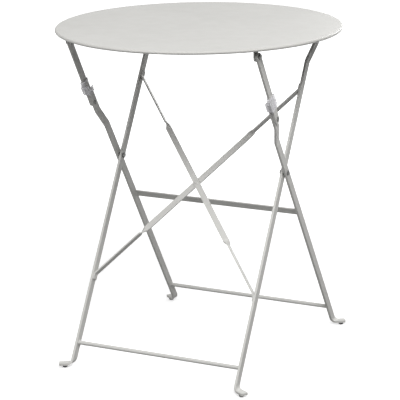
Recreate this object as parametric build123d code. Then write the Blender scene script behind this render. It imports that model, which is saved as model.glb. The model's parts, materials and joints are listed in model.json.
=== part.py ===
from build123d import *

import os
from math import asin, atan2, cos, degrees, hypot, pi, radians, sin, tan

# A folding bistro table: a round sheet-steel top on two crossed flat-bar frames.
# Millimetres, +Z up. The origin is on the floor under the centre of the top, +X is
# to the right and +Y to the back. The front frame has its feet at the front and
# carries the hinge at the back of the top. The rear frame has its feet at the back
# and is held to the front of the top by two links that fold at a knee.

# Overall sizes
top_diameter = 600.0
table_height = 708.0

# Top sheet, with its edge rolled under
sheet_thickness = 1.2
rim_bead_diameter = 7.0
rim_curl_sweep = 285.0  # degrees from the upper surface round to the sheet's edge

# Flat bar of the legs and links, and the thinner bar of the rails
bar_width = 16.0
bar_thickness = 5.0
rail_thickness = 3.0
bar_bend_radius = 5.5  # to the middle of the bar
joggle_bend_radius = 14.0

# Places of the pivots in the side view
hinge_drop = 22.0  # top surface down to the hinges' centres
lug_end_drop = 10.5  # a hinge's centre down to the end of its lug
rear_hinge_y = 162.5
front_hinge_y = -167.0
crossing_height = 410.0
crossing_y = 1.0
knee_distance = 156.8  # crossing bolt to knee, along the rear frame's leg
knee_over_centre = 1.9  # how far the knee stands in front of the straight line
knee_tip_length = 38.0  # leg end beyond the knee, which the clip holds
link_tail_length = 10.0  # link end beyond the knee, the other way

# Places across the table
frame_inner_width = 378.0  # between the inner faces of the front frame's legs
crossing_washer_thickness = 3.0
hinge_washer_thickness = 3.0
link_washer_thickness = 1.4
knee_gap = 0.5  # rear leg to link at the knee
front_joggle = 11.0  # outward step of the front frame's legs
front_joggle_start = 246.8  # from the crossing bolt, along the leg
rear_joggle_start = 92.8
joggle_length = 43.0
rear_joggle_length = 40.0

# Bars between the legs
rod_diameter = 8.5
front_rod_height = 48.0
rear_rod_height = 49.0
rear_bar_thickness = 3.0
rear_bar_below_crossing = 123.6
rear_bar_set_back = 4.4  # its middle, behind the middle of the legs

# Crossed brace strips of the front frame
brace_width = 12.5
brace_thickness = 3.0
brace_crossing_below = 43.0  # along the leg, under the crossing bolt
brace_half_rise = 226.5
brace_twist_start = 146.0  # from the strips' crossing, along a strip
brace_twist_length = 18.0
brace_tab_length = 12.5
brace_bend_radius = 6.0

# Feet
foot_bend_radius = 7.0  # inside of the bend
front_pad_length = 20.0
rear_pad_length = 17.0
pad_corner_radius = 2.5
plug_height = 5.5
plug_top_radius = 5.6
plug_foot_radius = 5.0
plug_edge_radius = 0.8
plug_along_pad = 7.2
plug_stem_length = 3.5  # up into the pad
plug_stem_gap = 0.2  # above the stem, in its blind hole

# Bolts, rivets and their fits
bolt_radius = 2.95
running_fit = 0.05
head_radius = 5.5
head_height = 3.0
head_edge_radius = 1.8
head_gap = 0.1
low_head_height = 2.2
low_head_edge_radius = 1.4
nut_across_flats = 10.0
nut_height = 3.5
hex_head_height = 3.4
hex_chamfer = 0.5
thread_end = 1.2
washer_radius = 6.5
rivet_radius = 2.5
rivet_head_radius = 5.0
rivet_head_height = 2.4
brace_rivet_head_radius = 4.5
brace_rivet_head_height = 1.8
rivet_edge_radius = 1.2

# Sliding clips
clip_start = 27.0  # from the knee, along the link
clip_housing_length = 21.0
clip_collar_length = 12.0
clip_wall = 1.8
clip_clearance = 0.2
clip_tip_clearance = 0.4
clip_notch_height = 8.5  # above the leg's end, at the back, where the end swings out
clip_notch_front = 1.0
clip_corner_radius = 1.2

# Worked out: faces across the table, on the right-hand side
front_inner_x = frame_inner_width / 2
front_outer_x = front_inner_x + bar_thickness
rear_inner_x = front_outer_x + crossing_washer_thickness
rear_outer_x = rear_inner_x + bar_thickness
hinge_inner_x = front_inner_x + front_joggle
lug_inner_x = hinge_inner_x + bar_thickness + hinge_washer_thickness
lug_outer_x = lug_inner_x + rail_thickness
link_inner_x = lug_outer_x + link_washer_thickness
link_outer_x = link_inner_x + bar_thickness
knee_outer_x = link_inner_x - knee_gap
knee_inner_x = knee_outer_x - bar_thickness
half_bar = bar_thickness / 2
hole_radius = bolt_radius + running_fit
rivet_hole_radius = rivet_radius + running_fit

# Worked out: pivots, leans and lengths in the side view
hinge_z = table_height - hinge_drop
hinge_rise = hinge_z - crossing_height
crossing = Vector(0, crossing_y, crossing_height)
rear_hinge = Vector(0, rear_hinge_y, hinge_z)
front_hinge = Vector(0, front_hinge_y, hinge_z)
front_lean = atan2(rear_hinge_y - crossing_y, hinge_rise)
front_reach = hypot(rear_hinge_y - crossing_y, hinge_rise)
straight_lean = atan2(crossing_y - front_hinge_y, hinge_rise)
rear_lean = straight_lean + asin(knee_over_centre / knee_distance)
knee = crossing + Vector(0, -sin(rear_lean), cos(rear_lean)) * knee_distance
link_lean = atan2(knee.Y - front_hinge.Y, front_hinge.Z - knee.Z)
link_length = (front_hinge - knee).length

# Each leaning frame is drawn upright about its lower pivot, then leant over.
FRONT_FRAME = Pos(crossing) * Rot(X=-degrees(front_lean))
REAR_FRAME = Pos(crossing) * Rot(X=degrees(rear_lean))
LINK_FRAME = Pos(knee) * Rot(X=degrees(link_lean))


def bent_bar(points, bend_radius, width, thickness):
    """Flat bar whose middle runs through (x, z) points in the plane y = 0."""
    line = FilletPolyline(*points, radius=bend_radius)
    return extrude(Plane.XZ * trace(line, thickness), width / 2, both=True)


def along_x(sketch, start, end, centre):
    """Sketch in (y, z) about a pivot's centre, drawn out from one x to another."""
    plane = Plane((start, 0, 0), x_dir=(0, 1, 0), z_dir=(1, 0, 0))
    return extrude(plane * Pos(centre.Y, centre.Z) * sketch, end - start)


def pin(radius, start, end, centre):
    return along_x(Circle(radius), start, end, centre)


def both_sides(shape):
    return shape + mirror(shape, about=Plane.YZ)


def round_ended(bar, low, high):
    """Cut an upright bar to a plate with a half round about the height `high`."""
    plate = Pos(0, (low + high) / 2) * Rectangle(bar_width, high - low)
    plate += Pos(0, high) * Circle(bar_width / 2)
    return bar & extrude(Plane.YZ * plate, top_diameter)


# --- Top and its rails ---


def tabletop():
    """Round sheet, rolled outwards and under into a bead that curls in on itself."""
    bead_radius = rim_bead_diameter / 2
    middle = table_height - sheet_thickness / 2
    bead_x = top_diameter / 2 - bead_radius
    centre = (bead_x, table_height - bead_radius)
    flat = Line((0, middle), (bead_x, middle))
    curl = CenterArc(centre, bead_radius - sheet_thickness / 2, 90, -rim_curl_sweep)
    return revolve(Plane.XZ * trace(flat + curl, sheet_thickness), Axis.Z)


def top_rail(hinge):
    """Flat bar under the sheet, its two ends turned down as hinge lugs."""
    middle = table_height - sheet_thickness - rail_thickness / 2
    lug_x = lug_inner_x + rail_thickness / 2
    end = hinge.Z - lug_end_drop
    path = [(-lug_x, end), (-lug_x, middle), (lug_x, middle), (lug_x, end)]
    rail = bent_bar(path, bar_bend_radius, bar_width, rail_thickness)
    square_end = Pos(0, end + bar_width / 4) * Rectangle(bar_width, bar_width / 2)
    round_end = Pos(0, end + bar_width / 2) * Circle(bar_width / 2)
    width = 2 * lug_outer_x
    rail -= extrude(Plane.YZ * (square_end - round_end), width / 2, both=True)
    hole = extrude(Plane.YZ * Pos(0, hinge.Z) * Circle(hole_radius), width, both=True)
    return Pos(0, hinge.Y, 0) * (rail - hole)


# --- Legs and feet ---

pad_top_z = plug_height + bar_thickness
bend_z = pad_top_z + foot_bend_radius
bend_middle_radius = foot_bend_radius + half_bar


def foot_line(inner_x, lean, side):
    """Where the foot's bend ends: x, and y of the bar's middle. side is -1 or 1."""
    start_y = crossing_y + side * (crossing_height - bend_z) * tan(lean)
    end_y = start_y + side * tan(lean) * bend_middle_radius * pi / 2
    return inner_x + bar_thickness + foot_bend_radius, start_y, end_y


def plug_place(inner_x, lean, side):
    end_x, _, end_y = foot_line(inner_x, lean, side)
    across = plug_along_pad * cos(lean)
    return Pos(end_x + across, end_y + side * across * tan(lean), 0)


def foot(inner_x, lean, side, pad_length):
    """Bar end bent outwards on a level line, and the level pad it makes."""
    end_x, start_y, end_y = foot_line(inner_x, lean, side)
    level_width = bar_width / cos(lean)
    sections = []
    for turn in (0, 22.5, 45, 67.5, 90):
        angle = radians(turn)
        x = end_x - bend_middle_radius * cos(angle)
        y = start_y + (end_y - start_y) * turn / 90
        z = bend_z - bend_middle_radius * sin(angle)
        plane = Plane((x, y, z), x_dir=(0, 1, 0), z_dir=(sin(angle), 0, -cos(angle)))
        sections.append(plane * Rectangle(level_width, bar_thickness))
    bend = loft(sections)

    run = Vector(cos(lean), side * sin(lean))
    across = Vector(-side * sin(lean), cos(lean)) * (bar_width / 2)
    start = Vector(end_x, end_y)
    end = start + run * pad_length
    half_edge = Vector(0, level_width / 2)
    outline = Polygon(start - half_edge, end - across, end + across, start + half_edge, align=None)
    outline = fillet(outline.vertices().sort_by(Axis.X)[-2:], pad_corner_radius)
    pad = extrude(Plane.XY.offset(plug_height) * outline, bar_thickness)
    hole_depth = plug_stem_length + plug_stem_gap
    plug_hole = Cylinder(hole_radius, 2 * (plug_height + hole_depth))
    return bend + pad - plug_place(inner_x, lean, side) * plug_hole


def front_leg():
    """Front frame's right leg, stepped outwards under the hinge lug."""
    bottom = -crossing_height / cos(front_lean) - bar_width
    low_x = front_inner_x + half_bar
    high_x = low_x + front_joggle
    joggle_end = front_joggle_start + joggle_length
    top = front_reach + bar_width / 2
    path = [(low_x, bottom), (low_x, front_joggle_start), (high_x, joggle_end), (high_x, top)]
    bar = bent_bar(path, joggle_bend_radius, bar_width, bar_thickness)
    leg = FRONT_FRAME * round_ended(bar, bottom, front_reach)
    leg = split(leg, bisect_by=Plane.XY.offset(bend_z), keep=Keep.TOP)
    leg += foot(front_inner_x, front_lean, -1, front_pad_length)
    leg -= pin(hole_radius, 0, top_diameter, crossing)
    return leg - pin(hole_radius, 0, top_diameter, rear_hinge)


def rear_leg():
    """Rear frame's right leg, stepped outwards to lie beside the link at the knee."""
    bottom = -crossing_height / cos(rear_lean) - bar_width
    low_x = rear_inner_x + half_bar
    high_x = knee_inner_x + half_bar
    joggle_end = rear_joggle_start + rear_joggle_length
    top = knee_distance + knee_tip_length
    path = [(low_x, bottom), (low_x, rear_joggle_start), (high_x, joggle_end), (high_x, top)]
    bar = bent_bar(path, joggle_bend_radius, bar_width, bar_thickness)
    bar = round_ended(bar, bottom, top - bar_width / 2)
    leg = split(REAR_FRAME * bar, bisect_by=Plane.XY.offset(bend_z), keep=Keep.TOP)
    leg += foot(rear_inner_x, rear_lean, 1, rear_pad_length)
    leg -= pin(hole_radius, 0, top_diameter, crossing)
    return leg - pin(rivet_hole_radius, 0, top_diameter, knee)


def foot_plugs(inner_x, lean, side):
    """Glides under the pads, each with a stem pressed up into its pad."""
    upright = (Align.CENTER, Align.CENTER, Align.MIN)
    glide = Cone(plug_foot_radius, plug_top_radius, plug_height, align=upright)
    glide = fillet(glide.edges().sort_by(Axis.Z)[0], plug_edge_radius)
    glide += Cylinder(bolt_radius, plug_height + plug_stem_length, align=upright)
    return both_sides(plug_place(inner_x, lean, side) * glide)


# --- Bars between the legs ---


def cross_rod(frame, inner_x, height, lean):
    """Round rod between two legs' inner faces, in the middle of the frame."""
    along = (height - crossing_height) / cos(lean)
    rod = Cylinder(rod_diameter / 2, 2 * inner_x, rotation=(0, 90, 0))
    return frame * Pos(0, 0, along) * rod


def rear_upper_bar():
    """Flat bar behind the middle of the legs, the stop of the folded frames."""
    bar = Box(2 * rear_inner_x, rear_bar_thickness, bar_width)
    return REAR_FRAME * Pos(0, rear_bar_set_back, -rear_bar_below_crossing) * bar


brace_slope = atan2(brace_half_rise, front_inner_x)


def strip_section(distance, turn, offset):
    """Cross-section of a brace strip, square to its run, at a distance along it."""
    run = Vector(cos(brace_slope), 0, sin(brace_slope))
    up = Vector(-sin(brace_slope), 0, cos(brace_slope))
    centre = run * distance + Vector(0, offset, 0)
    return Plane(centre, x_dir=up, z_dir=run) * Rot(Z=turn) * Rectangle(brace_width, brace_thickness)


def brace_strip(offset):
    """Strip rising to the right about its middle, both ends twisted edge-on with a tab."""
    flat = extrude(strip_section(-brace_twist_start, 0, offset), 2 * brace_twist_start)
    steps = 6
    sections = []
    for step in range(steps + 1):
        share = step / steps
        distance = brace_twist_start + brace_twist_length * share
        sections.append(strip_section(distance, 90 * share, offset * (1 - share)))
    twist = loft(sections)

    edge_start = brace_twist_start + brace_twist_length
    tab_x = front_inner_x - brace_thickness / 2
    corner_z = tab_x * tan(brace_slope)
    path = [
        (edge_start * cos(brace_slope), edge_start * sin(brace_slope)),
        (tab_x, corner_z),
        (tab_x, corner_z + brace_tab_length),
    ]
    end = twist + bent_bar(path, brace_bend_radius, brace_width, brace_thickness)
    return flat + end + Rot(Y=180) * end


BRACE_FRAME = FRONT_FRAME * Pos(0, 0, -brace_crossing_below)
brace_hole = Cylinder(rivet_hole_radius, 8 * brace_thickness, rotation=(90, 0, 0))


def brace_rivet():
    """Rivet through both strips where they cross, a low head on each side."""
    head = Pos(0, 0, brace_thickness) * Cylinder(
        brace_rivet_head_radius, brace_rivet_head_height, align=(Align.CENTER, Align.CENTER, Align.MIN)
    )
    head = fillet(head.edges().sort_by(Axis.Z)[-1], rivet_edge_radius)
    rivet = Cylinder(rivet_radius, 2 * brace_thickness) + head + Rot(X=180) * head
    return BRACE_FRAME * Rot(X=90) * rivet


# --- Links and clips ---


def link():
    """Right link, from the knee up to the front hinge, round at both ends."""
    low = bar_width / 2 - link_tail_length
    plate = Pos(0, (low + link_length) / 2) * Rectangle(bar_width, link_length - low)
    plate += Pos(0, low) * Circle(bar_width / 2) + Pos(0, link_length) * Circle(bar_width / 2)
    plate -= Circle(rivet_hole_radius)
    plate -= Pos(0, link_length) * Circle(hole_radius)
    return LINK_FRAME * along_x(plate, link_inner_x, link_outer_x, Vector(0, 0, 0))


def locking_clip():
    """Right clip: a collar that slides on the link, and a housing over the leg's end."""
    kink = rear_lean - link_lean
    slot_front = knee_tip_length * sin(kink) + bar_width / 2 + clip_tip_clearance
    front = slot_front + clip_wall
    channel = bar_width / 2 + clip_clearance
    rear = channel + clip_wall
    outer_x = link_outer_x + clip_clearance + clip_wall
    housing_x = knee_inner_x - clip_clearance - clip_wall
    collar_x = link_inner_x - clip_clearance - clip_wall
    collar_start = clip_start + clip_housing_length
    clip_end = collar_start + clip_collar_length

    def block(x_start, x_end, y_start, y_end, z_start, z_end):
        size = (x_end - x_start, y_end - y_start, z_end - z_start)
        return Pos(x_start, y_start, z_start) * Box(*size, align=Align.MIN)

    housing = block(housing_x, outer_x, -front, rear, clip_start, collar_start)
    collar = block(collar_x, outer_x, -front, rear, clip_start, clip_end)
    clip = housing + collar
    clip = fillet(clip.edges().filter_by(Axis.Z), clip_corner_radius)
    channel_x = (link_inner_x - clip_clearance, link_outer_x + clip_clearance)
    clip -= block(*channel_x, -channel, channel, 0, clip_end + bar_width)
    chamber = (knee_inner_x - clip_clearance, link_inner_x)
    chamber_end = collar_start - clip_wall
    notch_end = chamber_end + clip_notch_height
    clip -= block(*chamber, -slot_front, rear + bar_width, 0, chamber_end)
    clip -= block(*chamber, -clip_notch_front, rear + bar_width, chamber_end, notch_end)
    return LINK_FRAME * clip


# --- Bolts, washers, nuts and rivets ---


def washer(start, end, centre):
    return both_sides(along_x(Circle(washer_radius) - Circle(hole_radius), start, end, centre))


def hexagon():
    return RegularPolygon(nut_across_flats / 2, 6, major_radius=False)


def bevelled_hex(start, end, centre, outer_end):
    """Hexagon with its outer face's corners taken off, as on a nut or a bolt head."""
    block = along_x(hexagon(), start, end, centre)
    blank = pin(nut_across_flats * 0.57, start, end, centre)
    rim = blank.edges().filter_by(GeomType.CIRCLE).sort_by(Axis.X)[outer_end]
    return block & chamfer(rim, hex_chamfer)


def nut(face, centre, outward):
    """Nuts on a stack's face, towards the middle (outward -1) or away from it (1)."""
    start, end = sorted((face, face + outward * nut_height))
    body = bevelled_hex(start, end, centre, -1 if outward > 0 else 0)
    return both_sides(body - pin(hole_radius, start, end, centre))


def bolt(head, head_face, nut_face, centre):
    """Bolts through a stack, whose ends stand out of the nuts."""
    outward = 1 if nut_face > head_face else -1
    tip = nut_face + outward * (nut_height + thread_end)
    start, end = sorted((head_face, tip))
    return both_sides(head + pin(bolt_radius, start, end, centre))


def domed_head(radius, height, edge_radius, face, centre, outward):
    """Low round head on a face, its outer edge rounded."""
    start, end = sorted((face, face + outward * height))
    head = pin(radius, start, end, centre)
    edges = head.edges().filter_by(GeomType.CIRCLE).sort_by(Axis.X)
    return fillet(edges[-1 if outward > 0 else 0], edge_radius)


def crossing_bolts():
    face = rear_outer_x + head_gap
    head = domed_head(head_radius, head_height, head_edge_radius, face, crossing, 1)
    return bolt(head, face, front_inner_x, crossing)


def hinge_bolts():
    head = bevelled_hex(lug_outer_x, lug_outer_x + hex_head_height, rear_hinge, -1)
    return bolt(head, lug_outer_x, hinge_inner_x, rear_hinge)


def link_bolts():
    """Bolts with a low head inside the lugs, so that the legs pass as the table folds."""
    head = domed_head(head_radius, low_head_height, low_head_edge_radius, lug_inner_x, front_hinge, -1)
    return bolt(head, lug_inner_x, link_outer_x, front_hinge)


def knee_rivet(face, end, outward):
    """Half of the knee's rivet: a head on one face and a shank that stays in its bar."""
    head = domed_head(rivet_head_radius, rivet_head_height, rivet_edge_radius, face, knee, outward)
    start, finish = sorted((face, end))
    return head + pin(rivet_radius, start, finish, knee)


right_clip = locking_clip()
right_link = link()
right_front_leg = front_leg()
right_rear_leg = rear_leg()
link_rivet = knee_rivet(link_outer_x, link_inner_x, 1)
front_brace = mirror(brace_strip(-brace_thickness / 2), about=Plane.YZ)
rear_brace = brace_strip(brace_thickness / 2)

nodes = {
    "tabletop": tabletop(),
    "front_top_rail": top_rail(front_hinge),
    "rear_top_rail": top_rail(rear_hinge),
    "front_leg_left": mirror(right_front_leg, about=Plane.YZ),
    "front_leg_right": right_front_leg,
    "front_lower_bar": cross_rod(FRONT_FRAME, front_inner_x, front_rod_height, front_lean),
    "brace_strip_front": BRACE_FRAME * (front_brace - brace_hole),
    "brace_strip_rear": BRACE_FRAME * (rear_brace - brace_hole),
    "brace_rivet": brace_rivet(),
    "rear_leg_left": mirror(right_rear_leg, about=Plane.YZ),
    "rear_leg_right": right_rear_leg,
    "rear_upper_bar": rear_upper_bar(),
    "rear_lower_bar": cross_rod(REAR_FRAME, rear_inner_x, rear_rod_height, rear_lean),
    "crossing_bolts": crossing_bolts(),
    "crossing_washers": washer(front_outer_x, rear_inner_x, crossing),
    "crossing_nuts": nut(front_inner_x, crossing, -1),
    "top_hinge_bolts": hinge_bolts(),
    "top_hinge_washers": washer(lug_inner_x - hinge_washer_thickness, lug_inner_x, rear_hinge),
    "top_hinge_nuts": nut(hinge_inner_x, rear_hinge, -1),
    "link_left": mirror(right_link, about=Plane.YZ),
    "link_right": right_link,
    "link_bolts": link_bolts(),
    "link_washers": washer(lug_outer_x, link_inner_x, front_hinge),
    "link_nuts": nut(link_outer_x, front_hinge, 1),
    "knee_rivet_left": mirror(link_rivet, about=Plane.YZ),
    "knee_rivet_right": link_rivet,
    "knee_rivet_ends": both_sides(knee_rivet(knee_inner_x, knee_outer_x, -1)),
    "locking_clip_left": mirror(right_clip, about=Plane.YZ),
    "locking_clip_right": right_clip,
    "front_foot_plugs": foot_plugs(front_inner_x, front_lean, -1),
    "rear_foot_plugs": foot_plugs(rear_inner_x, rear_lean, 1),
}

os.makedirs("parts", exist_ok=True)
for name, shape in nodes.items():
    export_step(shape, f"parts/{name}.step")
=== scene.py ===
"""Folding bistro table: finishes, softened bars, welds, fasteners, clips, glides and a stage."""

import json
from math import acos, atan2, cos, pi, radians, sin

import bmesh
import bpy
from mathutils import Matrix, Vector


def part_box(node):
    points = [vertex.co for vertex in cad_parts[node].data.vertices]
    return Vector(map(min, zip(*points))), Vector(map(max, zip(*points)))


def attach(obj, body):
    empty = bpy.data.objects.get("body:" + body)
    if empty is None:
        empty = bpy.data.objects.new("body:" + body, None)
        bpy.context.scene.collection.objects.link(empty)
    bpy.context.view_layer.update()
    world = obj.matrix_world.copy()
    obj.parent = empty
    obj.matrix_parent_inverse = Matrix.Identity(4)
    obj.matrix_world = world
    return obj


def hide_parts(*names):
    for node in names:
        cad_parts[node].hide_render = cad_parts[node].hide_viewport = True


bl_info = {
    "name": "Folding bistro table",
    "version": (1, 0, 0),
    "blender": (4, 5, 0),
    "location": "View3D > Sidebar > Bistro table",
    "description": "Finishes, welds, fasteners, clips and stage for a folding steel table",
    "category": "Object",
}

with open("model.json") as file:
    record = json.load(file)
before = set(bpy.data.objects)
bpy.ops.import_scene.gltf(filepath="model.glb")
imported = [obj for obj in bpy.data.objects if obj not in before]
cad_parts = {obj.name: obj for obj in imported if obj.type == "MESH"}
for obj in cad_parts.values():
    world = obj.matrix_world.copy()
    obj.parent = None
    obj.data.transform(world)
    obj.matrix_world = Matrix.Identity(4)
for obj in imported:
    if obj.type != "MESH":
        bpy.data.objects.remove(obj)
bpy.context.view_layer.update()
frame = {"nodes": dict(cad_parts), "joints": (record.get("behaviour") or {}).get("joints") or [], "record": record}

MM = 0.001
SIDES = (-1, 1)

TABLE_MIDDLE = Vector((0, 0, 0.45))
CAMERA_PLACE = (1.7876, -3.5103, 1.3955)
# Each lamp's place and the side of its square
LAMPS = {
    "left": ((-1.6, -2.7, 2.7), 2.2),
    "front": ((1.58, -2.54, 2.79), 1.3),
    "right": ((2.3, -0.9, 3.4), 1.5),
    "rear": ((0.1, 3.1, 1.4), 1.8),
}


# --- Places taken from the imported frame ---


def joint(name):
    return next(j for j in frame["joints"] if j["name"] == name)


def middle(node):
    low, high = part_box(node)
    return (low + high) / 2


def pivot(name):
    """A pivot's place in the side view."""
    place = Vector(joint(name)["pos_m"])
    return Vector((0, place.y, place.z))


crossing = pivot("frame_fold")
rear_hinge = pivot("top_fold")
front_hinge = pivot("link_right_fold")
knee = middle("knee_rivet_right")
knee = Vector((0, knee.y, knee.z))


def upright(origin, target):
    """Frame whose Z runs from one pivot to another, with X across the table."""
    along = (target - origin).normalized()
    across = Vector((1, 0, 0))
    back = along.cross(across)
    turn = Matrix((across, back, along)).transposed().to_4x4()
    return Matrix.Translation(origin) @ turn


def box_along(place, node):
    """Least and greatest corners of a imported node, along the axes of one of these frames."""
    to_place = place.inverted()
    corners = [to_place @ vertex.co for vertex in frame["nodes"][node].data.vertices]
    low = Vector([min(c[axis] for c in corners) for axis in range(3)])
    high = Vector([max(c[axis] for c in corners) for axis in range(3)])
    return low, high


FRONT_FRAME = upright(crossing, rear_hinge)
REAR_FRAME = upright(crossing, knee)
LINK_FRAME = upright(knee, front_hinge)
TO_RIGHT = Matrix.Rotation(pi / 2, 4, "Y")

front_inner_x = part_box("front_lower_bar")[1].x
rear_inner_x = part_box("rear_lower_bar")[1].x
link_outer_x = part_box("link_right")[1].x
link_inner_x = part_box("link_right")[0].x
bar_thickness = link_outer_x - link_inner_x


# --- Modelling helpers ---


def deselect():
    if bpy.context.object and bpy.context.object.mode != "OBJECT":
        bpy.ops.object.mode_set(mode="OBJECT")
    bpy.ops.object.select_all(action="DESELECT")


def activate(piece):
    deselect()
    piece.select_set(True)
    bpy.context.view_layer.objects.active = piece


def apply_place(piece, place):
    """Move a piece to its place and keep the place in its mesh."""
    piece.matrix_world = place @ piece.matrix_world
    activate(piece)
    bpy.ops.object.transform_apply(location=True, rotation=True, scale=True)
    if place.determinant() < 0:
        face_outwards(piece)


def edit_all(piece, operator, **settings):
    """Run a mesh operator on the whole of a piece."""
    activate(piece)
    bpy.ops.object.mode_set(mode="EDIT")
    bpy.ops.mesh.select_all(action="SELECT")
    operator(**settings)
    bpy.ops.object.mode_set(mode="OBJECT")


def face_outwards(piece):
    edit_all(piece, bpy.ops.mesh.normals_make_consistent, inside=False)


def smooth(piece, degrees_limit):
    activate(piece)
    bpy.ops.object.shade_smooth_by_angle(angle=radians(degrees_limit))


def copy_of(piece, place):
    """A copy with its own mesh, at another place."""
    twin = piece.copy()
    twin.data = piece.data.copy()
    bpy.context.scene.collection.objects.link(twin)
    apply_place(twin, place)
    return twin


def joined(name, pieces):
    deselect()
    for piece in pieces:
        piece.select_set(True)
    bpy.context.view_layer.objects.active = pieces[0]
    if len(pieces) > 1:
        bpy.ops.object.join()
    result = bpy.context.object
    result.name = name
    result.data.name = name
    return result


def both_sides(name, piece):
    """The right-hand piece and its mirror image as one piece."""
    return joined(name, [piece, copy_of(piece, Matrix.Scale(-1, 4, (1, 0, 0)))])


def turned(name, stations, sides=40):
    """Turned solid about Z: a disc, extruded and resized through (height, radius) stations."""
    deselect()
    height, radius = stations[0]
    bpy.ops.mesh.primitive_circle_add(
        vertices=sides, radius=radius, fill_type="NGON", location=(0, 0, height)
    )
    piece = bpy.context.object
    piece.name = name
    bpy.ops.object.transform_apply(location=True, rotation=False, scale=False)
    bpy.ops.object.mode_set(mode="EDIT")
    bpy.ops.mesh.select_all(action="SELECT")
    for next_height, next_radius in stations[1:]:
        rise = (0, 0, next_height - height)
        bpy.ops.mesh.extrude_region_move(TRANSFORM_OT_translate={"value": rise})
        share = next_radius / radius
        bpy.ops.transform.resize(value=(share, share, 1), center_override=(0, 0, next_height))
        height, radius = next_height, next_radius
    bpy.ops.object.mode_set(mode="OBJECT")
    face_outwards(piece)
    return piece


def dome(base, height, radius, crown, steps=7):
    """Stations of a domed head: a quarter ellipse from its rim to a small flat crown."""
    sweep = acos(crown / radius)
    stations = []
    for step in range(steps + 1):
        angle = step / steps * sweep
        stations.append((base + height * sin(angle) / sin(sweep), radius * cos(angle)))
    return stations


def combine(piece, other, operation):
    """Join another solid to a piece, or cut it away, and use it up."""
    activate(piece)
    step = piece.modifiers.new(operation.lower(), "BOOLEAN")
    step.operation = operation
    step.object = other
    step.solver = "EXACT"
    bpy.ops.object.modifier_apply(modifier=step.name)
    bpy.data.objects.remove(other)


def sink_socket(piece, sides, radius, top, depth):
    """Sink a socket of so many sides into the flat crown at the top of a turned head."""
    deselect()
    bpy.ops.mesh.primitive_cylinder_add(
        vertices=sides, radius=radius, depth=2 * depth, location=(0, 0, top)
    )
    combine(piece, bpy.context.object, "DIFFERENCE")


def weld_bead(start, end, radius, scale_length):
    """Stitch of weld between two points: a tapered bead with the ripples of its puddles."""
    run = end - start
    steps = max(6, round(run.length / scale_length * 4))
    tip = 0.35
    ripple_depth = 0.1
    stations = []
    for step in range(steps + 1):
        share = step / steps
        taper = min(1, tip + (1 - tip) * sin(pi * share) ** 0.5) if 0 < share < 1 else tip
        ripple = 1 + ripple_depth * cos(2 * pi * share * run.length / scale_length)
        stations.append((run.length * share, radius * taper * ripple))
    bead = turned("weld_bead", stations, sides=12)
    turn = run.to_track_quat("Z", "Y").to_matrix().to_4x4()
    apply_place(bead, Matrix.Translation(start) @ turn)
    return bead


def weld_ring(centre, ring_radius, bead_radius, ripples):
    """Bead of weld round a rod that lies along X, rippled by drawing in every third section."""
    deselect()
    sections_a_ripple = 3
    turns = sections_a_ripple * ripples
    across = 10
    draw_in = bead_radius * 0.16
    bpy.ops.mesh.primitive_torus_add(
        major_radius=ring_radius,
        minor_radius=bead_radius,
        major_segments=turns,
        minor_segments=across,
    )
    ring = bpy.context.object
    bpy.ops.object.mode_set(mode="EDIT")
    bpy.ops.mesh.select_all(action="DESELECT")
    mesh = bmesh.from_edit_mesh(ring.data)
    mesh.verts.ensure_lookup_table()
    for vertex in mesh.verts:
        vertex.select_set(vertex.index // across % sections_a_ripple == 0)
    mesh.select_flush(False)
    bmesh.update_edit_mesh(ring.data)
    bpy.ops.transform.shrink_fatten(value=-draw_in)
    bpy.ops.object.mode_set(mode="OBJECT")
    apply_place(ring, Matrix.Translation(centre) @ TO_RIGHT)
    return ring


def merge_close(piece, distance):
    """Merge corners that lie closer than a distance."""
    edit_all(piece, bpy.ops.mesh.remove_doubles, threshold=distance)


def copy_of_node(node, name):
    """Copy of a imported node, its triangles merged into whole faces."""
    piece = bpy.data.objects.new(name, frame["nodes"][node].data.copy())
    bpy.context.scene.collection.objects.link(piece)
    merge_close(piece, 0.002 * MM)
    edit_all(piece, bpy.ops.mesh.dissolve_limited, angle_limit=radians(0.6))
    return piece


def shade_flats(piece, degrees_limit):
    """Smooth the rounded edges and keep the flat faces evenly lit."""
    smooth(piece, degrees_limit)
    flats = piece.modifiers.new("flat_faces", "WEIGHTED_NORMAL")
    flats.keep_sharp = True
    bpy.ops.object.modifier_apply(modifier=flats.name)


def softened(node, name, radius, segments=3):
    """Copy of a bar with the rolled edges that its stock has."""
    piece = copy_of_node(node, name)
    edge = piece.modifiers.new("rolled_edge", "BEVEL")
    edge.width = radius
    edge.segments = segments
    edge.limit_method = "ANGLE"
    edge.angle_limit = radians(40)
    edge.use_clamp_overlap = True
    bpy.ops.object.modifier_apply(modifier=edge.name)
    shade_flats(piece, 35)
    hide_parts(node)
    return piece


def finish_piece(piece, material, body):
    piece.data.materials.clear()
    piece.data.materials.append(material)
    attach(piece, body)


# --- Materials ---


def new_group(name, inputs, outputs):
    group = bpy.data.node_groups.new(name, "ShaderNodeTree")
    for label, kind, value in inputs:
        socket = group.interface.new_socket(name=label, in_out="INPUT", socket_type=kind)
        socket.default_value = value
    for label, kind in outputs:
        group.interface.new_socket(name=label, in_out="OUTPUT", socket_type=kind)
    return group, group.nodes.new("NodeGroupInput"), group.nodes.new("NodeGroupOutput")


def give(tree, socket, value):
    """Set a socket to a constant, or link a value to it."""
    if isinstance(value, (int, float, tuple)):
        socket.default_value = value
    else:
        tree.links.new(value, socket)


def math_node(tree, operation, first, second):
    node = tree.nodes.new("ShaderNodeMath")
    node.operation = operation
    give(tree, node.inputs[0], first)
    give(tree, node.inputs[1], second)
    return node.outputs[0]


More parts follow.
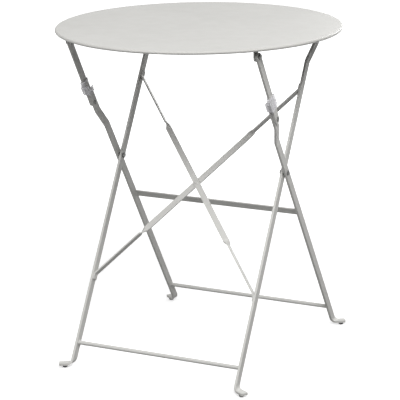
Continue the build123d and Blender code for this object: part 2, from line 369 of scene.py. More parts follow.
def noise_node(tree, vector, scale, detail, roughness=0.5):
    node = tree.nodes.new("ShaderNodeTexNoise")
    node.inputs["Detail"].default_value = detail
    node.inputs["Roughness"].default_value = roughness
    give(tree, node.inputs["Scale"], scale)
    tree.links.new(vector, node.inputs["Vector"])
    return node.outputs["Fac"]


def range_node(tree, value, from_low, from_high, to_low, to_high):
    node = tree.nodes.new("ShaderNodeMapRange")
    for socket, number in zip(list(node.inputs)[1:5], (from_low, from_high, to_low, to_high)):
        give(tree, socket, number)
    tree.links.new(value, node.inputs["Value"])
    return node.outputs["Result"]


def mix_colours(tree, share, first, second):
    node = tree.nodes.new("ShaderNodeMix")
    node.data_type = "RGBA"
    # Colour mixing has its own sockets, after those for numbers and vectors
    for index, value in ((0, share), (6, first), (7, second)):
        give(tree, node.inputs[index], value)
    return node.outputs[2]


def edge_wear_and_highlight_group():
    """Mask of outer edges, broken up by noise: partly where handling rubs them, partly a painted highlight along
    the edges.
    """
    group, given, result = new_group(
        "edge wear",
        [("Vector", "NodeSocketVector", (0, 0, 0)), ("Radius", "NodeSocketFloat", 0.0008)],
        [("Mask", "NodeSocketFloat")],
    )
    rounded = group.nodes.new("ShaderNodeBevel")
    rounded.samples = 4
    group.links.new(given.outputs["Radius"], rounded.inputs["Radius"])
    surface = group.nodes.new("ShaderNodeNewGeometry")
    facing = group.nodes.new("ShaderNodeVectorMath")
    facing.operation = "DOT_PRODUCT"
    group.links.new(rounded.outputs["Normal"], facing.inputs[0])
    group.links.new(surface.outputs["Normal"], facing.inputs[1])
    edge = range_node(group, facing.outputs["Value"], 0.99, 0.86, 0.0, 1.0)
    noise = noise_node(group, given.outputs["Vector"], 160, 4)
    breaks = range_node(group, noise, 0.42, 0.62, 0.0, 1.0)
    group.links.new(math_node(group, "MULTIPLY", edge, breaks), result.inputs["Mask"])
    return group


def powder_coat_group():
    """Stoved powder: slow shifts of tone, fine speckle, and the skin of orange peel."""
    group, given, result = new_group(
        "powder coat",
        [
            ("Vector", "NodeSocketVector", (0, 0, 0)),
            ("Light tone", "NodeSocketColor", (0.7, 0.7, 0.7, 1)),
            ("Deep tone", "NodeSocketColor", (0.6, 0.6, 0.6, 1)),
            ("Roughness", "NodeSocketFloat", 0.45),
            ("Peel scale", "NodeSocketFloat", 900.0),
        ],
        [
            ("Colour", "NodeSocketColor"),
            ("Roughness", "NodeSocketFloat"),
            ("Height", "NodeSocketFloat"),
        ],
    )
    vector = given.outputs["Vector"]
    drift = range_node(group, noise_node(group, vector, 5.5, 3), 0.3, 0.7, 0.0, 1.0)
    speckle = range_node(group, noise_node(group, vector, 1600, 2), 0.35, 0.75, 0.0, 0.35)
    share = math_node(group, "ADD", math_node(group, "MULTIPLY", drift, 0.65), speckle)
    colour = mix_colours(group, share, given.outputs["Light tone"], given.outputs["Deep tone"])
    group.links.new(colour, result.inputs["Colour"])
    scuffs = range_node(group, noise_node(group, vector, 32, 5, 0.6), 0.35, 0.7, -0.05, 0.07)
    rough = math_node(group, "ADD", scuffs, given.outputs["Roughness"])
    group.links.new(rough, result.inputs["Roughness"])
    peel = noise_node(group, vector, given.outputs["Peel scale"], 2)
    fine = noise_node(group, vector, 3600, 1)
    coarse_share = math_node(group, "MULTIPLY", peel, 0.75)
    fine_share = math_node(group, "MULTIPLY", fine, 0.25)
    group.links.new(math_node(group, "ADD", coarse_share, fine_share), result.inputs["Height"])
    return group


def scratch_group():
    """Hair scratches: thin lines of a stretched noise, in patches."""
    group, given, result = new_group(
        "scratches",
        [("Vector", "NodeSocketVector", (0, 0, 0)), ("Scale", "NodeSocketFloat", 40.0)],
        [("Mask", "NodeSocketFloat")],
    )
    warp = group.nodes.new("ShaderNodeMapping")
    warp.inputs["Rotation"].default_value = (0.3, 0.2, 0.9)
    warp.inputs["Scale"].default_value = (1.0, 14.0, 3.0)
    group.links.new(given.outputs["Vector"], warp.inputs["Vector"])
    lines = noise_node(group, warp.outputs["Vector"], given.outputs["Scale"], 3)
    thin = range_node(group, lines, 0.66, 0.7, 0.0, 1.0)
    patches = noise_node(group, given.outputs["Vector"], 9, 2)
    where = range_node(group, patches, 0.48, 0.62, 0.0, 1.0)
    group.links.new(math_node(group, "MULTIPLY", thin, where), result.inputs["Mask"])
    return group


def place_group(tree, group, vector, **values):
    node = tree.nodes.new("ShaderNodeGroup")
    node.node_tree = group
    tree.links.new(vector, node.inputs["Vector"])
    for label, value in values.items():
        node.inputs[label.replace("_", " ")].default_value = value
    return node


def new_material(name):
    material = bpy.data.materials.new(name)
    material.use_nodes = True
    tree = material.node_tree
    shader = tree.nodes["Principled BSDF"]
    place = tree.nodes.new("ShaderNodeTexCoord").outputs["Object"]
    return material, tree, shader, place


def bump(tree, shader, height, strength, distance):
    node = tree.nodes.new("ShaderNodeBump")
    node.inputs["Strength"].default_value = strength
    node.inputs["Distance"].default_value = distance
    tree.links.new(height, node.inputs["Height"])
    tree.links.new(node.outputs["Normal"], shader.inputs["Normal"])


def rgb(colour):
    return (*colour, 1.0)


def shaded(colour, share):
    return (*(part * share for part in colour), 1.0)


def coat_material(name, colour, groups, peel_scale, roughness, wear_and_highlight_colour):
    material, tree, shader, place = new_material(name)
    coat = place_group(
        tree,
        groups["coat"],
        place,
        Light_tone=rgb(colour),
        Deep_tone=shaded(colour, 0.93),
        Roughness=roughness,
        Peel_scale=peel_scale,
    )
    wear_and_highlight = place_group(tree, groups["wear_and_highlight"], place, Radius=0.7 * MM)
    scratches = place_group(tree, groups["scratches"], place, Scale=40.0)
    # Outer edges mixed towards a paler colour: partly abrasion from handling, partly a painted highlight.
    faint = math_node(tree, "MULTIPLY", wear_and_highlight.outputs["Mask"], 0.35)
    worn_and_highlit = mix_colours(tree, faint, coat.outputs["Colour"], wear_and_highlight_colour)
    hair = math_node(tree, "MULTIPLY", scratches.outputs["Mask"], 0.12)
    marked = mix_colours(tree, hair, worn_and_highlit, shaded(colour, 0.6))
    tree.links.new(marked, shader.inputs["Base Color"])
    tree.links.new(coat.outputs["Roughness"], shader.inputs["Roughness"])
    shader.inputs["Specular IOR Level"].default_value = 0.25
    bump(tree, shader, coat.outputs["Height"], 0.16, 0.25 * MM)
    return material


def zinc_material(name, colour, groups, roughness):
    """Dull plated steel: cloudy passivation, and outer edges turned paler, partly by abrasion and partly as a
    painted highlight.
    """
    material, tree, shader, place = new_material(name)
    cloud = range_node(tree, noise_node(tree, place, 420, 4), 0.3, 0.7, 0.0, 1.0)
    base = mix_colours(tree, cloud, rgb(colour), shaded(colour, 0.6))
    wear_and_highlight = place_group(tree, groups["wear_and_highlight"], place, Radius=0.4 * MM)
    # Outer edges mixed towards bright grey: partly abrasion of the plating, partly a painted highlight.
    rubbed_and_highlit = mix_colours(tree, wear_and_highlight.outputs["Mask"], base, rgb((0.75, 0.75, 0.74)))
    tree.links.new(rubbed_and_highlit, shader.inputs["Base Color"])
    shader.inputs["Metallic"].default_value = 0.85
    noise = noise_node(tree, place, 700, 3)
    rough = range_node(tree, noise, 0.3, 0.7, roughness - 0.08, roughness + 0.12)
    tree.links.new(rough, shader.inputs["Roughness"])
    bump(tree, shader, noise_node(tree, place, 1500, 2), 0.2, 0.15 * MM)
    return material


def clip_material(name, colour):
    """Milky polypropylene, partly see-through, with flow marks from the mould."""
    material, tree, shader, place = new_material(name)
    flow = tree.nodes.new("ShaderNodeMapping")
    flow.inputs["Scale"].default_value = (1.0, 1.0, 0.35)
    tree.links.new(place, flow.inputs["Vector"])
    cloud = range_node(tree, noise_node(tree, flow.outputs["Vector"], 150, 3), 0.3, 0.7, 0.0, 1.0)
    milky = mix_colours(tree, cloud, rgb(colour), shaded(colour, 0.9))
    tree.links.new(milky, shader.inputs["Base Color"])
    tree.links.new(range_node(tree, cloud, 0.0, 1.0, 0.3, 0.4), shader.inputs["Roughness"])
    shader.inputs["Alpha"].default_value = 0.62
    shader.inputs["IOR"].default_value = 1.49
    shader.inputs["Subsurface Weight"].default_value = 0.3
    shader.inputs["Subsurface Radius"].default_value = (0.004, 0.004, 0.004)
    bump(tree, shader, noise_node(tree, place, 300, 2), 0.06, 0.2 * MM)
    return material


def glide_material(name, colour):
    """Dark moulded plastic, scuffed paler towards the floor."""
    material, tree, shader, place = new_material(name)
    height = tree.nodes.new("ShaderNodeSeparateXYZ")
    tree.links.new(place, height.inputs["Vector"])
    low = range_node(tree, height.outputs["Z"], 0.0, 0.003, 1.0, 0.0)
    scuff = range_node(tree, noise_node(tree, place, 700, 4), 0.4, 0.65, 0.0, 1.0)
    share = math_node(tree, "MULTIPLY", low, scuff)
    scuffed = mix_colours(tree, share, rgb(colour), rgb((0.3, 0.3, 0.29)))
    tree.links.new(scuffed, shader.inputs["Base Color"])
    tree.links.new(range_node(tree, scuff, 0.0, 1.0, 0.45, 0.62), shader.inputs["Roughness"])
    bump(tree, shader, noise_node(tree, place, 1200, 2), 0.25, 0.2 * MM)
    return material


def make_materials(finish):
    groups = {"coat": powder_coat_group(), "wear_and_highlight": edge_wear_and_highlight_group(), "scratches": scratch_group()}
    # Paler colour for the outer edges: partly abrasion, partly a painted highlight.
    pale_wear_and_highlight = shaded((1.0, 1.0, 0.98), 0.82)
    sheet, bars = finish.top_colour, finish.frame_colour
    return {
        "top": coat_material("top powder coat", sheet, groups, 700.0, 0.42, pale_wear_and_highlight),
        "frame": coat_material("frame powder coat", bars, groups, 1000.0, 0.48, pale_wear_and_highlight),
        "weld": coat_material("coated weld", bars, groups, 500.0, 0.5, pale_wear_and_highlight),
        "zinc": zinc_material("dull zinc", finish.fastener_colour, groups, 0.38),
        "clip": clip_material("milky plastic", finish.clip_colour),
        "glide": glide_material("glide plastic", finish.glide_colour),
    }


materials = {}


# --- Values that a user would change ---


def colour_setting(name, description, default):
    return bpy.props.FloatVectorProperty(
        name=name, description=description, subtype="COLOR", min=0, max=1, default=default
    )


def length_setting(name, description, default):
    return bpy.props.FloatProperty(
        name=name, description=description, unit="LENGTH", default=default
    )


def angle_setting(name, description, degrees_default):
    return bpy.props.FloatProperty(
        name=name, description=description, subtype="ANGLE", default=radians(degrees_default)
    )


def power_setting(name, description, default):
    return bpy.props.FloatProperty(
        name=name, description=description, unit="POWER", default=default
    )


class BISTRO_PG_finish(bpy.types.PropertyGroup):
    top_colour: colour_setting("Top", "Powder coat of the top", (0.6, 0.595, 0.57))
    frame_colour: colour_setting("Frame", "Powder coat of the frame", (0.66, 0.655, 0.63))
    fastener_colour: colour_setting("Fasteners", "Plated steel", (0.16, 0.16, 0.155))
    clip_colour: colour_setting("Clips", "Milky plastic", (0.95, 0.94, 0.97))
    glide_colour: colour_setting("Glides", "Plastic under the feet", (0.07, 0.07, 0.068))


class BISTRO_PG_details(bpy.types.PropertyGroup):
    rolled_edge: length_setting("Rolled edge", "Rounding of the bars' edges", 0.6 * MM)
    weld_radius: length_setting("Weld bead", "Radius of the weld beads", 1.3 * MM)
    weld_scale: length_setting("Weld ripple", "Length of one ripple in a weld", 1.5 * MM)
    thread_pitch: length_setting("Thread pitch", "Pitch of the bolts' threads", 0.6 * MM)
    grip_depth: length_setting("Clip grip", "How far the clips' grips stand out", 3.2 * MM)


class BISTRO_PG_stage(bpy.types.PropertyGroup):
    azimuth: angle_setting("Azimuth", "Camera's direction round the table", 27.03)
    elevation: angle_setting("Elevation", "Camera's angle above the floor", 15.14)
    roll: angle_setting("Roll", "Camera's tilt about its own axis", -0.85)
    focal_length: bpy.props.FloatProperty(
        name="Focal length", description="Lens on a 36 mm sensor", unit="CAMERA", default=171.9
    )
    left_power: power_setting("Left lamp", "Large soft lamp in front, to the left", 44.0)
    front_power: power_setting("Front lamp", "Soft lamp high in front, to the right", 64.0)
    right_power: power_setting("Right lamp", "Soft lamp high on the right", 54.0)
    rear_power: power_setting("Rear lamp", "Soft lamp behind", 45.0)
    world_level: bpy.props.FloatProperty(
        name="Surroundings", description="Even light from all round", default=0.2
    )
    floor_tone: bpy.props.FloatProperty(
        name="Floor tone",
        description="How much light the floor throws back up",
        subtype="FACTOR",
        default=0.14,
    )


# --- Operators: one for each group of pieces ---


class BISTRO_OT_finishes(bpy.types.Operator):
    """Make the materials and give them to the sheet, rods, washers and other kept nodes"""

    bl_idname = "bistro.finishes"
    bl_label = "Finishes"

    def execute(self, context):
        materials.update(make_materials(context.scene.bistro_finish))
        slots = {
            "top_paint": "top",
            "frame_paint": "frame",
            "dark_zinc": "zinc",
            "clip_plastic": "clip",
            "glide_plastic": "glide",
        }
        for part in frame["record"]["subparts"]:
            node = frame["nodes"][part["node"]]
            node.data.materials.clear()
            node.data.materials.append(materials[slots[part["material_slot"]]])
        return {"FINISHED"}


class BISTRO_OT_bars(bpy.types.Operator):
    """Legs, rails, strips, links and the rear bar with the rolled edges of flat stock"""

    bl_idname = "bistro.bars"
    bl_label = "Flat bars"

    def execute(self, context):
        edge = context.scene.bistro_details.rolled_edge
        bars = {
            "front_frame": ["front_leg_left", "front_leg_right"],
            "rear_frame": ["rear_leg_left", "rear_leg_right", "rear_upper_bar"],
            "top": ["front_top_rail", "rear_top_rail"],
            "link_left": ["link_left"],
            "link_right": ["link_right"],
        }
        for body, nodes in bars.items():
            for node in nodes:
                piece = softened(node, node + "_bar", edge)
                finish_piece(piece, materials["frame"], body)
        for node in ("brace_strip_front", "brace_strip_rear"):
            piece = softened(node, node + "_flat", edge * 0.6, segments=2)
            finish_piece(piece, materials["frame"], "front_frame")
        return {"FINISHED"}


class BISTRO_OT_welds(bpy.types.Operator):
    """Weld beads of the rods, brace strips, rear bar and rails"""

    bl_idname = "bistro.welds"
    bl_label = "Welds"

    def execute(self, context):
        details = context.scene.bistro_details
        bead, scale = details.weld_radius, details.weld_scale
        rods = (("front_lower_bar", "front_frame"), ("rear_lower_bar", "rear_frame"))
        for rod, body in rods:
            low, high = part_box(rod)
            centre = (low + high) / 2
            radius = (high.z - low.z) / 2
            end = high.x - bead * 0.4
            places = [Vector((side * end, centre.y, centre.z)) for side in SIDES]
            rings = [weld_ring(place, radius, bead, ripples=16) for place in places]
            self.weld(rod + "_welds", rings, body)

        self.weld_braces(bead, scale)
        self.weld_rear_bar(bead, scale)
        self.weld_rails(bead, scale)
        return {"FINISHED"}

    def weld(self, name, beads, body):
        """Beads as one piece, painted with the frame."""
        piece = joined(name, beads)
        smooth(piece, 60)
        finish_piece(piece, materials["weld"], body)

    def weld_braces(self, bead, scale):
        """Two stitches on each tab of the strips, along its long edges."""
        lean = atan2(rear_hinge.y - crossing.y, rear_hinge.z - crossing.z)
        low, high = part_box("brace_strip_front")
        half_width = 6.25 * MM
        top = (high.z - half_width * sin(lean) - crossing.z) / cos(lean)
        bottom = (low.z + half_width * sin(lean) - crossing.z) / cos(lean)
        stitch = 9 * MM
        x = front_inner_x - bead * 0.35
        beads = []
        for side in SIDES:
            for start, end in ((top - stitch, top - bead), (bottom + bead, bottom + stitch)):
                for edge in SIDES:
                    y = edge * (half_width + bead * 0.1)
                    points = [FRONT_FRAME @ Vector((side * x, y, along)) for along in (start, end)]
                    beads.append(weld_bead(*points, bead, scale))
        self.weld("brace_welds", beads, "front_frame")

    def weld_rear_bar(self, bead, scale):
        """A stitch down each face of the rear bar, where its ends meet the legs."""
        low, high = box_along(REAR_FRAME, "rear_upper_bar")
        x = rear_inner_x - bead * 0.4
        from_corner = 2 * MM
        beads = []
        for side in SIDES:
            for y in (low.y, high.y):
                heights = (low.z + from_corner, high.z - from_corner)
                points = [REAR_FRAME @ Vector((side * x, y, z)) for z in heights]
                beads.append(weld_bead(*points, bead, scale))
        self.weld("rear_bar_welds", beads, "rear_frame")

    def weld_rails(self, bead, scale):
        """Three pairs of stitches hold each rail to the underside of the sheet."""
        half_stitch = 11 * MM
        spacing = 150 * MM
        for node in ("front_top_rail", "rear_top_rail"):
            low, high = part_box(node)
            z = high.z - bead * 0.55
            beads = []
            for centre in (-spacing, 0.0, spacing):
                for y in (low.y, high.y):
                    ends = [Vector((centre + sign * half_stitch, y, z)) for sign in SIDES]
                    beads.append(weld_bead(*ends, bead, scale))
            self.weld(node + "_welds", beads, "top")


class BISTRO_OT_bolts(bpy.types.Operator):
    """Bolts of the crossing and of the links, with their heads, sockets and threads"""

    bl_idname = "bistro.bolts"
    bl_label = "Bolts"

    def threaded(self, start, end, radius):
        """Stations of a thread, cut as rings one pitch apart."""
        pitch = self.pitch
        depth = 0.25 * MM
        stations = [(start, radius - depth)]
        turns = int((end - start - pitch) / pitch)
        for turn in range(turns):
            base = start + turn * pitch
            stations += [(base + pitch * 0.5, radius), (base + pitch, radius - depth)]
        stations.append((end, radius - 2 * depth))
        return stations

    def make(self, name, node, profile, centre, body, socket=None):
        """A bolt along X on the right, and its twin on the left."""
        piece = turned(name, profile, sides=48)
        if socket:
            sink_socket(piece, 6, *socket)
        face_outwards(piece)
        apply_place(piece, Matrix.Translation(centre) @ TO_RIGHT)
        pair = both_sides(name, piece)
        smooth(pair, 38)
        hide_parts(node)
        finish_piece(pair, materials["zinc"], body)

    def execute(self, context):
        self.pitch = context.scene.bistro_details.thread_pitch
        shank = 2.95 * MM

        # Crossing bolts: domed socket heads outside, threads standing out of the nuts inside
        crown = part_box("crossing_bolts")[1].x
        head = 5.5 * MM
        head_height = 3.0 * MM
        rim = 0.6 * MM
        thread = 4.7 * MM
        face = crown - head_height
        profile = self.threaded(front_inner_x - thread, front_inner_x, shank)
        profile += [(front_inner_x + 0.1 * MM, shank), (face, shank), (face, head - 0.1 * MM)]
        profile += dome(face + rim, head_height - rim, head, 2.6 * MM)
        socket = (1.9 * MM, crown, 1.5 * MM)
        self.make("crossing_bolt_pair", "crossing_bolts", profile, crossing, "front_frame", socket)

        # Link bolts: low domed heads inside the lugs, threads outwards through the links
        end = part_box("link_bolts")[1].x
        lug_thickness = 3.0 * MM
        low_head = 2.2 * MM
        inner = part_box("front_top_rail")[1].x - lug_thickness
        crown_stations = ((0.0, 2.4 * MM), (0.15 * MM, 3.6 * MM), (0.7 * MM, 4.9 * MM))
        profile = [(inner - low_head + height, radius) for height, radius in crown_stations]
        profile += [(inner - rim, head - 0.05 * MM), (inner, head), (inner + 0.01 * MM, shank)]
        profile += [(link_outer_x, shank)] + self.threaded(link_outer_x + 0.1 * MM, end, shank)
        self.make("link_bolt_pair", "link_bolts", profile, front_hinge, "top")
        return {"FINISHED"}


class BISTRO_OT_rivets(bpy.types.Operator):
    """Peened rivets of the knees and of the crossed strips"""

    bl_idname = "bistro.rivets"
    bl_label = "Rivets"

    def headed(self, shank_start, face, height, head_radius):
        """Stations of a shank and its peened head, with the ring that the rivet set leaves."""
        shank = 2.5 * MM
        rim = 0.35 * MM
        profile = [(shank_start, shank), (face, shank), (face + 0.01 * MM, head_radius * 0.97)]
        profile += dome(face + rim, height - rim, head_radius, head_radius * 0.5, 5)
        profile.append((face + height * 0.86, head_radius * 0.42))
        profile.append((face + height * 0.9, head_radius * 0.12))
        return profile

    def set_rivet(self, piece, node, material, body, slot):
        """Put a finished rivet in its CAD node's place."""
        smooth(piece, 35)
        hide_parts(node)
        finish_piece(piece, materials[material], body)

    def execute(self, context):
        knee_head = (2.4 * MM, 5.0 * MM)
        brace_head = (1.8 * MM, 4.5 * MM)
        brace_stack = 3.0 * MM
        for side, body in ((-1, "link_left"), (1, "link_right")):
            node = "knee_rivet_left" if side < 0 else "knee_rivet_right"
            head = turned(node + "_peened", self.headed(link_inner_x, link_outer_x, *knee_head))
            mirror_to_side = Matrix.Scale(side, 4, (1, 0, 0))
            apply_place(head, mirror_to_side @ Matrix.Translation(knee) @ TO_RIGHT)
            self.set_rivet(head, node, "zinc", body, "dark_zinc")

        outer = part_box("knee_rivet_ends")[1].x
        inner = outer - bar_thickness
        tail = turned("knee_rivet_tail", self.headed(-outer, -inner, *knee_head))
        turn_round = Matrix.Rotation(pi, 4, "Z")
        apply_place(tail, Matrix.Translation(knee) @ turn_round @ TO_RIGHT)
        pair = both_sides("knee_rivet_tails", tail)
        self.set_rivet(pair, "knee_rivet_ends", "zinc", "rear_frame", "dark_zinc")

        front_half = self.headed(0.0, brace_stack, *brace_head)
        back_half = [(-height, radius) for height, radius in reversed(front_half)]
        rivet = turned("brace_rivet_peened", back_half[:-1] + front_half[1:])
        through_strips = FRONT_FRAME.to_3x3().to_4x4() @ Matrix.Rotation(pi / 2, 4, "X")
        apply_place(rivet, Matrix.Translation(middle("brace_rivet")) @ through_strips)
        self.set_rivet(rivet, "brace_rivet", "frame", "front_frame", "frame_paint")
        return {"FINISHED"}


class BISTRO_OT_clips(bpy.types.Operator):
    """Sliding clips: moulded shell with a window, ribs, ridges and grips"""

    bl_idname = "bistro.clips"
    bl_label = "Clips"

    def block(self, low, high, edge):
        """Block between two corners, its edges rounded."""
        deselect()
        size = high - low
        bpy.ops.mesh.primitive_cube_add(size=1, location=(low + high) / 2)
        piece = bpy.context.object
        piece.scale = size
        bpy.ops.object.transform_apply(location=True, rotation=True, scale=True)
        edit_all(piece, bpy.ops.mesh.bevel, offset=edge, segments=3, affect="EDGES")
        return piece

    def execute(self, context):
        grip = context.scene.bistro_details.grip_depth
        node = "locking_clip_right"
        low, high = box_along(LINK_FRAME, node)
        shell = copy_of_node(node, "clip_moulding")
        apply_place(shell, LINK_FRAME.inverted())

        wall = 1.8 * MM
        housing_length = 21 * MM
        collar = low.z + housing_length
        inset = 0.1 * MM
        proud = 0.9 * MM
        rib = 2.4 * MM
        rounding = 0.35 * MM
        rib_root = low.y + wall * 0.6
        parts = []
        # Frame on the front: two uprights and two cross ribs
        for x in (low.x + inset, high.x - rib - inset):
            start = Vector((x, low.y - proud, low.z + 0.8 * MM))
            parts.append((start, Vector((x + rib, rib_root, high.z - 10 * MM))))
        for z in (low.z + 1.2 * MM, collar - 2.9 * MM):
            start = Vector((low.x + 0.6 * MM, low.y - proud + 0.15 * MM, z))
            parts.append((start, Vector((high.x - 0.6 * MM, low.y + wall * 0.5, z + rib))))
        # Fin at the back and ear at the front, to push the clip with
        fin_low = Vector((high.x - wall, high.y - 0.9 * MM, low.z + 1.2 * MM))
        parts.append((fin_low, Vector((high.x - inset, high.y + grip, high.z - 1.5 * MM))))
        ear_low = Vector((high.x - wall, low.y - grip, low.z + 6 * MM))
        parts.append((ear_low, Vector((high.x - inset, rib_root, collar + 4 * MM))))
        # Finger ridges on the outer face
        ridges, ridge_spacing, ridge_width = 4, 4.2 * MM, 1.3 * MM
        for step in range(ridges):
            z = low.z + 5 * MM + step * ridge_spacing
            start = Vector((high.x - 0.6 * MM, low.y + 3.5 * MM, z))
            parts.append((start, Vector((high.x + 0.55 * MM, high.y - 3.5 * MM, z + ridge_width))))
        for start, end in parts:
            combine(shell, self.block(start, end, rounding), "UNION")

        # Window in the inner face, through which the link shows
        half_window = 5.4 * MM
        window_low = Vector((low.x - wall, -half_window, low.z + 12.6 * MM))
        window_high = Vector((link_inner_x + 2 * MM, half_window, high.z - 2.4 * MM))
        combine(shell, self.block(window_low, window_high, 0.8 * MM), "DIFFERENCE")
        # Housing's inner wall is open at the back, where the leg's end swings out
        gap_low = Vector((low.x - wall, 4.0 * MM, low.z + 12.7 * MM))
        gap_high = Vector((low.x + wall + 1.5 * MM, high.y + grip, high.z))
        combine(shell, self.block(gap_low, gap_high, rounding), "DIFFERENCE")

        merge_close(shell, 0.01 * MM)
        apply_place(shell, LINK_FRAME)
        left = copy_of(shell, Matrix.Scale(-1, 4, (1, 0, 0)))
        for piece, side in ((left, "left"), (shell, "right")):
            piece.name = f"clip_{side}_moulding"
            shade_flats(piece, 32)
            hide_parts(f"locking_clip_{side}")
            finish_piece(piece, materials["clip"], f"clip_{side}")
        return {"FINISHED"}


class BISTRO_OT_glides(bpy.types.Operator):
    """Glides under the four pads: a turned foot with a mould line, on its stem"""

    bl_idname = "bistro.glides"
    bl_label = "Glides"

    def execute(self, context):
        foot, top, stem = 5.0 * MM, 5.6 * MM, 2.9 * MM
        height = 5.5 * MM
        stem_length = 3.5 * MM
        profile = [
            (0.0, foot * 0.55),
            (0.12 * MM, foot * 0.8),
            (0.35 * MM, foot * 0.92),
            (0.8 * MM, foot),
            # Mould line, as a shallow groove
            (1.6 * MM, foot + 0.1 * MM),
            (2.0 * MM, foot - 0.15 * MM),
            (2.4 * MM, foot + 0.2 * MM),
            (height - 0.5 * MM, top),
            (height - 0.15 * MM, top - 0.1 * MM),
            (height, top - 0.4 * MM),
            (height + 0.01 * MM, stem),
            (height + stem_length - 0.5 * MM, stem),
            (height + stem_length, stem * 0.8),
        ]
        for node, body in (("front_foot_plugs", "front_frame"), ("rear_foot_plugs", "rear_frame")):
            low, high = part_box(node)
            glide = turned(node + "_glide", profile, sides=40)
            centre = Vector((high.x - top, (low.y + high.y) / 2, 0))
            apply_place(glide, Matrix.Translation(centre))
            pair = both_sides(node + "_glides", glide)
            smooth(pair, 35)
            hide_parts(node)
            finish_piece(pair, materials["glide"], body)
        return {"FINISHED"}


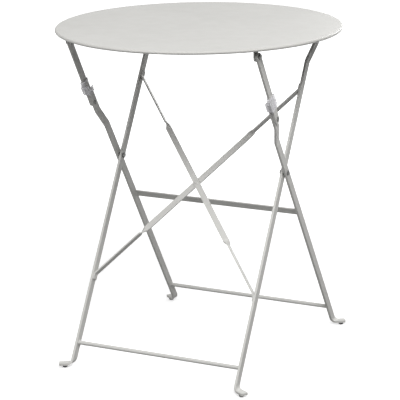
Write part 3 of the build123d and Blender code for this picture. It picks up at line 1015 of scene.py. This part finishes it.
class BISTRO_OT_stage(bpy.types.Operator):
    """Pale floor, soft lights, surroundings and camera"""

    bl_idname = "bistro.stage"
    bl_label = "Stage"

    def floor(self, stage):
        deselect()
        floor_radius = 30
        bpy.ops.mesh.primitive_circle_add(
            vertices=96, radius=floor_radius, fill_type="NGON", location=(0, 0, 0)
        )
        floor = bpy.context.object
        floor.name = "studio_floor"
        material = bpy.data.materials.new("studio floor")
        material.use_nodes = True
        tree = material.node_tree
        tree.nodes.clear()
        out = tree.nodes.new("ShaderNodeOutputMaterial")
        seen = tree.nodes.new("ShaderNodeAddShader")
        matt = tree.nodes.new("ShaderNodeBsdfDiffuse")
        matt.inputs["Color"].default_value = (0.8, 0.8, 0.8, 1)
        glow = tree.nodes.new("ShaderNodeEmission")
        distance = tree.nodes.new("ShaderNodeVectorMath")
        distance.operation = "LENGTH"
        tree.links.new(tree.nodes.new("ShaderNodeTexCoord").outputs["Object"], distance.inputs[0])
        # Dimmer under the table, where its shadow falls, and white further out
        near, far = 0.6, 2.5
        fade = range_node(tree, distance.outputs["Value"], near, far, 0.5, 1.0)
        tree.links.new(fade, glow.inputs["Strength"])
        tree.links.new(matt.outputs[0], seen.inputs[0])
        tree.links.new(glow.outputs[0], seen.inputs[1])
        lighting = tree.nodes.new("ShaderNodeBsdfDiffuse")
        tone = stage.floor_tone
        lighting.inputs["Color"].default_value = (tone, tone, tone, 1)
        choose = tree.nodes.new("ShaderNodeMixShader")
        tree.links.new(self.seen_directly(tree), choose.inputs[0])
        tree.links.new(lighting.outputs[0], choose.inputs[1])
        tree.links.new(seen.outputs[0], choose.inputs[2])
        # Clear from below, so that the underside can be looked at
        behind = tree.nodes.new("ShaderNodeMixShader")
        surface = tree.nodes.new("ShaderNodeNewGeometry")
        tree.links.new(surface.outputs["Backfacing"], behind.inputs[0])
        tree.links.new(choose.outputs[0], behind.inputs[1])
        tree.links.new(tree.nodes.new("ShaderNodeBsdfTransparent").outputs[0], behind.inputs[2])
        tree.links.new(behind.outputs[0], out.inputs["Surface"])
        floor.data.materials.append(material)

    def seen_directly(self, tree):
        """1 for camera, glossy and transmission rays, which see the white studio."""
        rays = tree.nodes.new("ShaderNodeLightPath").outputs
        either = math_node(tree, "MAXIMUM", rays["Is Camera Ray"], rays["Is Glossy Ray"])
        return math_node(tree, "MAXIMUM", either, rays["Is Transmission Ray"])

    def surroundings(self, stage):
        world = bpy.data.worlds.new("studio")
        bpy.context.scene.world = world
        world.use_nodes = True
        tree = world.node_tree
        background = tree.nodes["Background"]
        background.inputs["Strength"].default_value = stage.world_level
        white = tree.nodes.new("ShaderNodeBackground")
        choose = tree.nodes.new("ShaderNodeMixShader")
        tree.links.new(self.seen_directly(tree), choose.inputs[0])
        tree.links.new(background.outputs[0], choose.inputs[1])
        tree.links.new(white.outputs[0], choose.inputs[2])
        tree.links.new(choose.outputs[0], tree.nodes["World Output"].inputs["Surface"])
        for node in (background, white):
            node.inputs["Color"].default_value = (1, 1, 1, 1)

    def lamp(self, name, place, size, power):
        """Square area lamp that points at the middle of the table."""
        light = bpy.data.lights.new(name, "AREA")
        light.size = size
        light.energy = power
        lamp = bpy.data.objects.new(name, light)
        lamp.location = place
        aim = TABLE_MIDDLE - Vector(place)
        lamp.rotation_euler = aim.to_track_quat("-Z", "Y").to_euler()
        bpy.context.scene.collection.objects.link(lamp)

    def camera(self, stage):
        azimuth, elevation = stage.azimuth, stage.elevation
        right = Vector((cos(azimuth), sin(azimuth), 0))
        level = cos(elevation)
        back = Vector((sin(azimuth) * level, -cos(azimuth) * level, sin(elevation)))
        up = back.cross(right)
        turn = Matrix((right, up, back)).transposed() @ Matrix.Rotation(stage.roll, 3, "Z")
        lens = bpy.data.cameras.new("camera")
        lens.lens = stage.focal_length
        lens.sensor_width = 36
        camera = bpy.data.objects.new("camera", lens)
        camera.matrix_world = Matrix.Translation(CAMERA_PLACE) @ turn.to_4x4()
        bpy.context.scene.collection.objects.link(camera)
        bpy.context.scene.camera = camera

    def execute(self, context):
        stage = context.scene.bistro_stage
        context.scene.view_settings.view_transform = "Standard"
        self.floor(stage)
        self.surroundings(stage)
        for side, (place, size) in LAMPS.items():
            self.lamp(f"{side}_lamp", place, size, getattr(stage, f"{side}_power"))
        self.camera(stage)
        return {"FINISHED"}


class BISTRO_PT_panel(bpy.types.Panel):
    bl_idname = "BISTRO_PT_panel"
    bl_label = "Bistro table"
    bl_space_type = "VIEW_3D"
    bl_region_type = "UI"
    bl_category = "Bistro table"

    def draw(self, context):
        for operator in OPERATORS:
            self.layout.operator(operator.bl_idname)
        for name, group in GROUPS.items():
            for setting in group.__annotations__:
                self.layout.prop(getattr(context.scene, name), setting)


GROUPS = {
    "bistro_finish": BISTRO_PG_finish,
    "bistro_details": BISTRO_PG_details,
    "bistro_stage": BISTRO_PG_stage,
}
OPERATORS = (
    BISTRO_OT_finishes,
    BISTRO_OT_bars,
    BISTRO_OT_welds,
    BISTRO_OT_bolts,
    BISTRO_OT_rivets,
    BISTRO_OT_clips,
    BISTRO_OT_glides,
    BISTRO_OT_stage,
)


def register():
    for name, group in GROUPS.items():
        bpy.utils.register_class(group)
        setattr(bpy.types.Scene, name, bpy.props.PointerProperty(type=group))
    for operator in OPERATORS:
        bpy.utils.register_class(operator)
    bpy.utils.register_class(BISTRO_PT_panel)


def unregister():
    bpy.utils.unregister_class(BISTRO_PT_panel)
    for operator in reversed(OPERATORS):
        bpy.utils.unregister_class(operator)
    for name, group in reversed(GROUPS.items()):
        delattr(bpy.types.Scene, name)
        bpy.utils.unregister_class(group)


def main():
    register()
    deselect()
    bpy.ops.bistro.finishes()
    bpy.ops.bistro.bars()
    bpy.ops.bistro.welds()
    bpy.ops.bistro.bolts()
    bpy.ops.bistro.rivets()
    bpy.ops.bistro.clips()
    bpy.ops.bistro.glides()
    bpy.ops.bistro.stage()
    deselect()


if __name__ == "__main__":
    main()
